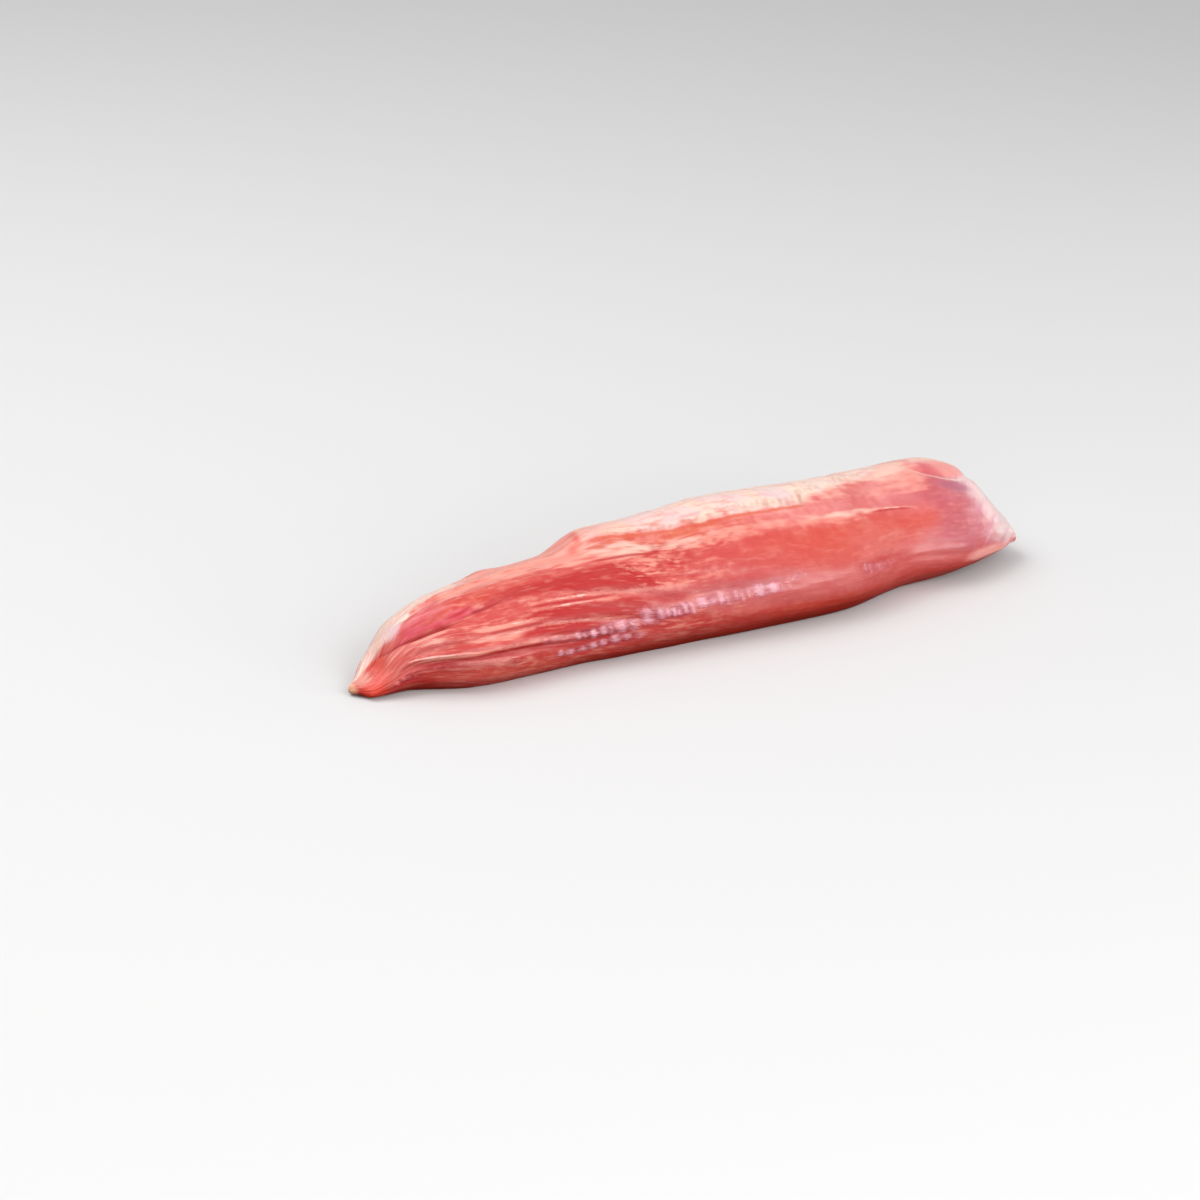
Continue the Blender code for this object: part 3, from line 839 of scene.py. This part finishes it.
# %% UV map
corner_vertex = np.empty(len(meat.data.loops), dtype=np.int32)
meat.data.loops.foreach_get("vertex_index", corner_vertex)
uv = np.stack([(all_x - TIP_X) / (HEAD_X - TIP_X), (all_angle + 90) / 360], axis=-1)[corner_vertex]
uv_map = meat.data.uv_layers.new(name="along_and_around")
uv_map.data.foreach_set("uv", uv.astype(np.float32).ravel())
print("UV map from", uv.min(axis=0).round(3), "to", uv.max(axis=0).round(3))

# %% [markdown]
# ## Shader helpers
#
# Raw meat is built from layers of colour, and each layer is one Mix node with a
# mask. Two small node groups are shared: one gives noise of a chosen length and
# width along the fibres, and one turns a soft mask into a ragged, streaky edge.

# %% Node helpers
def tree_of(values):
    """The node tree that the first socket among the values belongs to."""
    return next(value.id_data for value in values if isinstance(value, bpy.types.NodeSocket))


def place(socket, value):
    """Links a socket, or sets a plain value."""
    if isinstance(value, bpy.types.NodeSocket):
        socket.id_data.links.new(value, socket)
    else:
        socket.default_value = value


def filled(node, *values):
    """Gives a node's inputs their values in order, and returns its first output."""
    for socket, value in zip([s for s in node.inputs if s.enabled], values):
        place(socket, value)
    return next(s for s in node.outputs if s.enabled)


def mix_colour(mask, below, above):
    """The colour below where the mask is 0, and the colour above where it is 1."""
    node = mask.id_data.nodes.new("ShaderNodeMix")
    node.data_type = "RGBA"
    return filled(node, mask, below, above)


def laid_on(colour, *layers):
    """The colour under layers, each a mask and a colour, from the lowest to the topmost."""
    for mask, layer in layers:
        colour = mix_colour(mask, colour, layer)
    return colour


def maths(operation, *values, clamp=False):
    """One Math node."""
    node = tree_of(values).nodes.new("ShaderNodeMath")
    node.operation = operation
    node.use_clamp = clamp
    return filled(node, *values)


def vector_maths(operation, first, second):
    """One Vector Math node."""
    node = first.id_data.nodes.new("ShaderNodeVectorMath")
    node.operation = operation
    return filled(node, first, second)


def stored(tree, name, output="Fac"):
    """The number or vector that each vertex keeps under this name."""
    node = tree.nodes.new("ShaderNodeAttribute")
    node.attribute_name = name
    return node.outputs[output]


def span(value, low, high):
    """0 below low, 1 above high and a smooth rise between them."""
    node = value.id_data.nodes.new("ShaderNodeMapRange")
    node.interpolation_type = "SMOOTHSTEP"
    return filled(node, value, low, high)


def new_group(name, inputs, output):
    """A shared group of nodes, with what goes in and comes out. Only its Place input is a vector."""
    group = bpy.data.node_groups.new(name, "ShaderNodeTree")
    for label in inputs:
        kind = "NodeSocketVector" if label == "Place" else "NodeSocketFloat"
        group.interface.new_socket(label, in_out="INPUT", socket_type=kind)
    group.interface.new_socket(output, in_out="OUTPUT", socket_type="NodeSocketFloat")
    return group, group.nodes.new("NodeGroupInput").outputs, group.nodes.new("NodeGroupOutput").inputs


def use_group(group, *values):
    """A node for a shared group."""
    node = tree_of(values).nodes.new("ShaderNodeGroup")
    node.node_tree = group
    return filled(node, *values)


def dress(piece, name):
    """Gives the piece a new material. Returns its node tree and its shader."""
    material = bpy.data.materials.new(name)
    material.use_nodes = True
    piece.data.materials.append(material)
    return material.node_tree, material.node_tree.nodes["Principled BSDF"]


# %% Shared group: noise along the fibres
GRAIN_INPUTS = ("Place", "Length", "Width", "Detail")
grain_group, grain_in, grain_out = new_group("grain_along_fibres", GRAIN_INPUTS, "Grain")
size_node = grain_group.nodes.new("ShaderNodeCombineXYZ")
grain_size = filled(size_node, grain_in["Length"], grain_in["Width"], grain_in["Width"])
grain_noise = grain_group.nodes.new("ShaderNodeTexNoise")
place(grain_noise.inputs["Scale"], 1.0)
place(grain_noise.inputs["Roughness"], 0.6)
place(grain_noise.inputs["Vector"], vector_maths("DIVIDE", grain_in["Place"], grain_size))
place(grain_noise.inputs["Detail"], grain_in["Detail"])
place(grain_out["Grain"], grain_noise.outputs["Fac"])
print("group", grain_group.name, "with", len(grain_group.nodes), "nodes")


def grain(at, length, width, detail):
    """Noise at a place on the bar, whose grains are so many millimetres long and wide."""
    return use_group(grain_group, at, length, width, detail)


# %% Shared group: ragged edge, only where the mask is above 0
EDGE_START = 0.06
EDGE_INPUTS = ("Mask", "Grain", "Raggedness", "Softness")
edge_group, edge_in, edge_out = new_group("ragged_edge", EDGE_INPUTS, "Mask")
centred_grain = maths("SUBTRACT", edge_in["Grain"], 0.5)
moved_mask = maths("MULTIPLY_ADD", centred_grain, edge_in["Raggedness"], edge_in["Mask"])
edge_low = maths("SUBTRACT", 0.5, edge_in["Softness"])
edge_high = maths("ADD", 0.5, edge_in["Softness"])
ragged_mask = span(moved_mask, edge_low, edge_high)
place(edge_out["Mask"], maths("MULTIPLY", ragged_mask, span(edge_in["Mask"], 0.0, EDGE_START)))
print("group", edge_group.name, "with", len(edge_group.nodes), "nodes")

# %% [markdown]
# ## Meat material
#
# The layers go from the meat itself to what lies on it: salmon flesh, warmer and
# pinker zones, fibres, deep red, pale fat that shines through, painted shade on
# the underside and in the creases, the fat cap, and last the silverskin and the
# small painted lilac glints of the wrinkles.

# %% Meat colours
SALMON = seen(206, 73, 68)
WARM = seen(209, 73, 58)
PINK = seen(216, 106, 104)
DEEP_RED = seen(181, 8, 12)
PALE = seen(246, 166, 148)
# colour of the painted shade in the creases
CREASE_SHADE_RED = seen(150, 8, 26)
MAGENTA = seen(214, 76, 98)
# red of the painted shade lines and of the two cross cuts
SHADE_AND_CUT_RED = seen(180, 30, 34)
CUP_RED = seen(222, 58, 34)
FLAP_ORANGE = seen(255, 190, 150)
LOBE_PEACH = seen(238, 142, 130)
# colour of the painted shade on the underside
UNDERSIDE_SHADE_RED = seen(146, 24, 6)
FRINGE_ORANGE = seen(214, 92, 62)
# red of the painted shade at the foot of the fat step
STEP_SHADE_RED = seen(228, 66, 46)
FAT_CREAM = seen(247, 211, 193)
FAT_LILAC = seen(240, 201, 196)
FAT_YELLOW = seen(252, 228, 200)
FAT_PINK = seen(240, 158, 144)
FAT_GREY = seen(222, 184, 178)
SKIN_ROSE = seen(210, 130, 146)
SKIN_LILAC = seen(212, 150, 174)
SKIN_WHITE = seen(238, 214, 212)
# silverskin lilac, darkened as the painted shade of the hollow
HOLLOW_SHADE_LILAC = seen(172, 84, 108)
ROSE = seen(192, 90, 103)
# paler pink of the flesh, also the colour of painted light on the lower side
BLUSH_AND_BOUNCE_LIGHT = seen(255, 178, 172)
FAT_BROWN = seen(184, 124, 100)
LILAC_GREY = seen(226, 196, 208)
# colours of the painted glints on the wrinkles
PAINTED_GLINT_LILAC = seen(248, 184, 198)
PAINTED_GLINT_WARM = seen(248, 128, 120)
FILM_LILAC = seen(178, 72, 92)
FILM_RED = seen(156, 30, 50)

tree, shader = dress(meat, "raw_pork")
straight = stored(tree, "straight", "Vector")
bundle = grain(straight, 22.0, 2.4, 3.0)
fibre = grain(straight, 7.0, 0.9, 1.0)
mottle = grain(straight, 5.0, 2.6, 2.0)
speck = grain(straight, 1.6, 0.6, 1.0)
spot = grain(straight, 4.4, 0.8, 1.0)
cloud = grain(straight, 14.0, 7.0, 2.0)
streak = maths("MULTIPLY_ADD", fibre, 0.5, maths("MULTIPLY", bundle, 0.5))
streaky = maths("MULTIPLY_ADD", stored(tree, "calm"), -0.75, 1.0)


def part_of(mask, share):
    """The mask at a share of its strength."""
    return maths("MULTIPLY", mask, share, clamp=True)


def ragged(name, noise, raggedness, softness, share):
    """The stored mask at a share of its strength, with an edge that the noise breaks up."""
    return part_of(use_group(edge_group, stored(tree, name), noise, raggedness, softness), share)


def patches(noise, low, high, share):
    """A share where the noise has passed from low to high, and 0 where it hasn't."""
    return part_of(span(noise, low, high), share)


def streaks(noise, low, high, share):
    """Patches that are weaker where the meat is calm."""
    return maths("MULTIPLY", patches(noise, low, high, share), streaky)


def where(name, noise, low, high, share):
    """Patches that are held to a stored mask."""
    return maths("MULTIPLY", patches(noise, low, high, share), stored(tree, name))


# %% Flesh layers
colour = laid_on(
    mix_colour(stored(tree, "orange"), SALMON, WARM),
    (stored(tree, "pink"), PINK),
    (ragged("rose", mottle, 0.6, 0.5, 0.85), ROSE),
    # paler pink flesh, and painted light on the lower side of the head end and the tail
    (ragged("blush_and_bounce_light", mottle, 0.5, 0.5, 0.9), BLUSH_AND_BOUNCE_LIGHT),
    (streaks(cloud, 0.5, 0.72, 0.3), PALE),
    (patches(cloud, 0.5, 0.3, 0.15), DEEP_RED),
    (streaks(mottle, 0.48, 0.8, 0.35), PALE),
    (streaks(mottle, 0.52, 0.25, 0.2), DEEP_RED),
    (streaks(bundle, 0.5, 0.28, 0.3), DEEP_RED),
    (ragged("pale", streak, 2.4, 0.45, 0.72), PALE),
    (streaks(fibre, 0.5, 0.78, 0.35), PALE),
    (ragged("magenta", streak, 2.0, 0.5, 0.75), MAGENTA),
    (ragged("deep", streak, 2.0, 0.6, 0.92), DEEP_RED),
    (where("mottled", spot, 0.52, 0.7, 0.7), PALE),
    (where("mottled", spot, 0.46, 0.32, 0.5), DEEP_RED),
    (ragged("cream", streak, 1.8, 0.45, 0.65), FAT_CREAM),
    (streaks(fibre, 0.52, 0.75, 0.22), PALE),
    (streaks(fibre, 0.48, 0.25, 0.22), DEEP_RED),
    (ragged("halo", speck, 1.4, 0.4, 0.35), PALE),
    # painted shade on the underside
    (stored(tree, "under"), UNDERSIDE_SHADE_RED),
    # painted shade in the fold, the groove and the cut at the tip
    (part_of(stored(tree, "crease_shade"), 0.8), CREASE_SHADE_RED),
    (ragged("cup", streak, 1.4, 0.5, 0.85), CUP_RED),
    (stored(tree, "flap"), FLAP_ORANGE),
)

# %% Fat layers
fat_colour = laid_on(
    mix_colour(span(cloud, 0.45, 0.6), FAT_CREAM, FAT_LILAC),
    (patches(bundle, 0.5, 0.7, 0.6), FAT_YELLOW),
    (patches(streak, 0.5, 0.36, 0.6), FAT_PINK),
    (patches(speck, 0.45, 0.25, 0.3), FAT_PINK),
    (patches(mottle, 0.52, 0.68, 0.5), FAT_GREY),
)
fat_edge = maths("SUBTRACT", 1.0, span(stored(tree, "fat"), 0.3, 0.9))
pink_share = part_of(maths("MAXIMUM", fat_edge, stored(tree, "tail_side")), 0.65)
thin_fringe = ragged("fringe_line", fibre, 1.2, 0.45, 0.85)
rim_colour = laid_on(
    mix_colour(span(spot, 0.42, 0.6), FAT_LILAC, FAT_YELLOW),
    (patches(speck, 0.5, 0.32, 0.6), FAT_PINK),
)
colour = laid_on(
    colour,
    (ragged("fat", streak, 1.3, 0.45, 1.0), mix_colour(pink_share, fat_colour, FAT_PINK)),
    (maths("MAXIMUM", where("fringe", fibre, 0.5, 0.34, 0.6), thin_fringe), FRINGE_ORANGE),
    (where("fat_tick", mottle, 0.2, 0.55, 0.75), FAT_BROWN),
    (ragged("rim", mottle, 1.2, 0.4, 0.9), rim_colour),
    (ragged("lilac", mottle, 1.4, 0.4, 0.5), LILAC_GREY),
    # painted shade lines beside the sinews and along the creases
    (ragged("line", fibre, 0.9, 0.4, 0.8), SHADE_AND_CUT_RED),
    (where("cut", mottle, 0.2, 0.5, 0.75), SHADE_AND_CUT_RED),
    # painted shade at the foot of the fat step, and a red spot beside it
    (part_of(stored(tree, "step"), 0.8), STEP_SHADE_RED),
)

# %% Silverskin and painted glints
skin_grain = grain(stored(tree, "skin_place", "Vector"), 2.6, 16.0, 1.0)
skin_colour = laid_on(
    mix_colour(span(stored(tree, "skin"), 0.2, 0.6), SKIN_ROSE, SKIN_LILAC),
    (ragged("skin", skin_grain, 1.6, 0.45, 0.95), SKIN_WHITE),
    (patches(skin_grain, 0.45, 0.28, 0.35), SKIN_LILAC),
)
colour = laid_on(
    colour,
    (ragged("skin", mottle, 0.9, 0.55, 0.9), skin_colour),
    # silverskin lilac in the hollow, painted darker as its shade
    (ragged("hollow", mottle, 0.8, 0.5, 0.75), HOLLOW_SHADE_LILAC),
    (ragged("lobe", mottle, 1.0, 0.5, 0.8), LOBE_PEACH),
    # painted sheen on top of the head lobe, in the cream of fat
    (ragged("lobe_top_sheen", mottle, 0.8, 0.6, 0.75), FAT_CREAM),
    (ragged("seam", speck, 1.2, 0.5, 0.6), FAT_CREAM),
    (where("film", mottle, 0.2, 0.5, 0.8), mix_colour(stored(tree, "tail_side"), FILM_LILAC, FILM_RED)),
    # painted glints: painted highlights in lilac on the raised wrinkles, warmer on the tail
    (ragged("wrinkle_glint", speck, 0.85, 0.5, 0.85), mix_colour(stored(tree, "warm_end"), PAINTED_GLINT_LILAC, PAINTED_GLINT_WARM)),
)
place(shader.inputs["Base Color"], colour)
print("meat colour layers:", sum(node.bl_idname == "ShaderNodeMix" for node in tree.nodes))

# %% Wetness and bump
wet = maths("MULTIPLY_ADD", span(mottle, 0.35, 0.65), 0.3, 0.25)
in_line = stored(tree, "crease_shade")
for name in ("line", "sunk"):
    in_line = maths("MAXIMUM", in_line, stored(tree, name))
dull = maths("MAXIMUM", stored(tree, "under"), in_line)
dull = maths("MAXIMUM", dull, part_of(stored(tree, "deep"), 0.6))
rough = maths("MULTIPLY_ADD", mottle, 0.25, 0.28)
dry = maths("MAXIMUM", in_line, part_of(stored(tree, "deep"), 0.5))
place(shader.inputs["Roughness"], maths("MULTIPLY_ADD", dry, 0.4, rough))
place(shader.inputs["Coat Weight"], maths("MULTIPLY", wet, maths("SUBTRACT", 1.0, dull)))
place(shader.inputs["Coat Roughness"], 0.28)
place(shader.inputs["Subsurface Weight"], 0.15)
place(shader.inputs["Subsurface Radius"], (1.0, 0.3, 0.2))
place(shader.inputs["Subsurface Scale"], 0.003)
height = maths("MULTIPLY_ADD", maths("MULTIPLY", fibre, streaky), 0.7, part_of(speck, 0.05))
bump = tree.nodes.new("ShaderNodeBump")
place(bump.inputs["Strength"], 0.6)
place(bump.inputs["Distance"], 0.0006)
place(bump.inputs["Height"], height)
place(shader.inputs["Normal"], bump.outputs["Normal"])
print("material nodes:", len(tree.nodes))

# %% [markdown]
# ## Sinews
#
# Thin white sinews lie on the meat like threads, mostly sunk into it. Each thread
# is a small oval carried along a line on the surface. Its width swells and
# tapers, so that it appears and disappears as a real sinew does.

# %% Threads
LOOSE_SINEWS = 46
THREAD_POINTS = 56
THREAD_SIDES = 8
THREAD_FLATNESS = 0.4
THREAD_SINK = 0.12
share = np.linspace(0, 1, THREAD_POINTS)


def direction(arrows):
    """The arrows at length 1."""
    return arrows / np.linalg.norm(arrows, axis=-1, keepdims=True)


def thread(x, angle, half_width, number):
    """Oval carried along the line: width times a swelling that is almost 0 at both ends."""
    t = np.radians(angle) % (2 * np.pi)
    centre = surface(x, t, -THREAD_SINK)
    along = np.gradient(centre, axis=0)
    out = direction(np.cross(along, surface(x, t + 0.01, -THREAD_SINK) - centre))
    side = direction(np.cross(out, along))
    swell = np.sqrt(np.sin(np.pi * np.clip(share, 0.002, 0.998)))
    swell = swell * (0.55 + 0.9 * unevenness(x / 4 + number, angle / 9))
    turn = 2 * np.pi * np.arange(THREAD_SIDES)[:, None] / THREAD_SIDES
    oval = np.cos(turn) * side[:, None] + THREAD_FLATNESS * np.sin(turn) * out[:, None]
    return centre[:, None] + half_width * swell[:, None, None] * oval


def on_each_thread(faces):
    """The faces of one thread, repeated for all threads."""
    first = np.arange(len(lines))[:, None, None] * THREAD_POINTS * THREAD_SIDES
    return (faces + first).reshape(-1, faces.shape[1]).tolist()


chance = np.random.default_rng(21)
lines = []
for places, angles, half_width in SINEWS:
    x = places[0] + (places[-1] - places[0]) * share
    lines.append((x, curve(places, angles, x), half_width))
for number in range(LOOSE_SINEWS):
    middle_x = chance.uniform(-122, -8)
    middle_angle = chance.uniform(14, 66)
    half_length = chance.uniform(2, 7)
    x = middle_x + half_length * (2 * share - 1)
    lean = curve(*BUNDLE_DRIFT, x) - curve(*BUNDLE_DRIFT, np.full_like(x, middle_x))
    lines.append((x, middle_angle - lean, chance.uniform(0.12, 0.24)))
threads = [thread(*line, number) for number, line in enumerate(lines)]
around = np.arange(THREAD_SIDES)
thread_ends = np.array([around[::-1], around + (THREAD_POINTS - 1) * THREAD_SIDES])
sinew_faces = on_each_thread(ring_quads(THREAD_POINTS, THREAD_SIDES)) + on_each_thread(thread_ends)
sinews = add_piece("sinews", np.concatenate(threads).reshape(-1, 3), sinew_faces)
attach(sinews, "root")
keep_straight(sinews, *(np.repeat([line[n] for line in lines], THREAD_SIDES) for n in (0, 1)))

# %% Sinew material
SINEW_WHITE = seen(250, 188, 178)
SINEW_PINK = seen(232, 132, 122)
sinew_tree, sinew_shader = dress(sinews, "sinew")
sinew_grain = grain(stored(sinew_tree, "straight", "Vector"), 3.0, 2.0, 2.0)
sinew_colour = mix_colour(span(sinew_grain, 0.4, 0.6), SINEW_PINK, SINEW_WHITE)
place(sinew_shader.inputs["Base Color"], sinew_colour)
place(sinew_shader.inputs["Roughness"], maths("MULTIPLY_ADD", sinew_grain, 0.3, 0.2))
place(sinew_shader.inputs["Coat Weight"], 0.2)
place(sinew_shader.inputs["Coat Roughness"], 0.3)
print("sinew material nodes:", len(sinew_tree.nodes))

# %% [markdown]
# ## Floor and light
#
# The piece lies on a plain pale floor in the even light of a white room. The
# walls and ceiling light it from above and behind, and the lower front of the
# room is dark and warm, so that the underside stays deep. The floor casts no
# light back. A broad lamp stands in front and one hangs behind. Two low ones at
# the front reach under the shoulder, the right one for the wet streak along it
# and the left one for the tail. A weak one lights the head from its side.

# %% Floor
FLOOR_SIZE = 6.0
floor_corners = np.array([(-1, -1, 0), (1, -1, 0), (1, 1, 0), (-1, 1, 0)]) * FLOOR_SIZE / 2
floor = add_piece("floor", floor_corners / MM, [(0, 1, 2, 3)])
floor_shader = dress(floor, "floor_paint")[1]
place(floor_shader.inputs["Base Color"], (0.72, 0.72, 0.72, 1.0))
place(floor_shader.inputs["Roughness"], 0.7)
floor.visible_diffuse = False
floor.visible_glossy = False

# %% Room
ROOM_STRENGTH = 0.62
ROOM_ABOVE = (1.0, 1.0, 1.0, 1.0)
ROOM_BELOW = (0.16, 0.08, 0.06, 1.0)
ROOM_TILT = (0.34, 0.49, 1.0)
ROOM_EDGE = (-0.15, 0.15)
world = bpy.data.worlds.new("white_room")
world.use_nodes = True
room = world.node_tree
looking = room.nodes.new("ShaderNodeTexCoord")
room_mask = span(vector_maths("DOT_PRODUCT", looking.outputs["Generated"], ROOM_TILT), *ROOM_EDGE)
place(room.nodes["Background"].inputs["Color"], mix_colour(room_mask, ROOM_BELOW, ROOM_ABOVE))
place(room.nodes["Background"].inputs["Strength"], ROOM_STRENGTH)
bpy.context.scene.world = world
print("room strength:", ROOM_STRENGTH)


# %% Lamps
def lamp(name, place_at, aim_at, width, height, power):
    """Oblong area lamp that shines from one point towards another."""
    data = bpy.data.lights.new(name, "AREA")
    data.shape = "RECTANGLE"
    data.size = width
    data.size_y = height
    data.energy = power
    lamp_object = bpy.data.objects.new(name, data)
    turn = (Vector(aim_at) - Vector(place_at)).to_track_quat("-Z", "Y")
    lamp_object.matrix_world = Matrix.Translation(place_at) @ turn.to_matrix().to_4x4()
    bpy.context.scene.collection.objects.link(lamp_object)
    print("lamp", name, "at", place_at, power, "W")


# each: name, place, point aimed at, width and height in metres, watts
lamp("front_lamp", (0.15, -1.15, 0.75), (0.0, 0.0, 0.0), 1.0, 0.8, 7.2)
lamp("back_lamp", (-0.55, 0.4, 1.1), (0.0, 0.0, 0.0), 1.0, 0.8, 8.5)
lamp("low_lamp", (0.64, -0.99, 0.17), (0.0, 0.0, 0.03), 0.7, 0.4, 4.0)
lamp("left_lamp", (-0.75, -0.95, 0.22), (-0.1, 0.0, 0.02), 0.6, 0.3, 3.8)
lamp("end_lamp", (1.0, -0.15, 0.3), (0.12, 0.0, 0.02), 0.5, 0.3, 0.9)
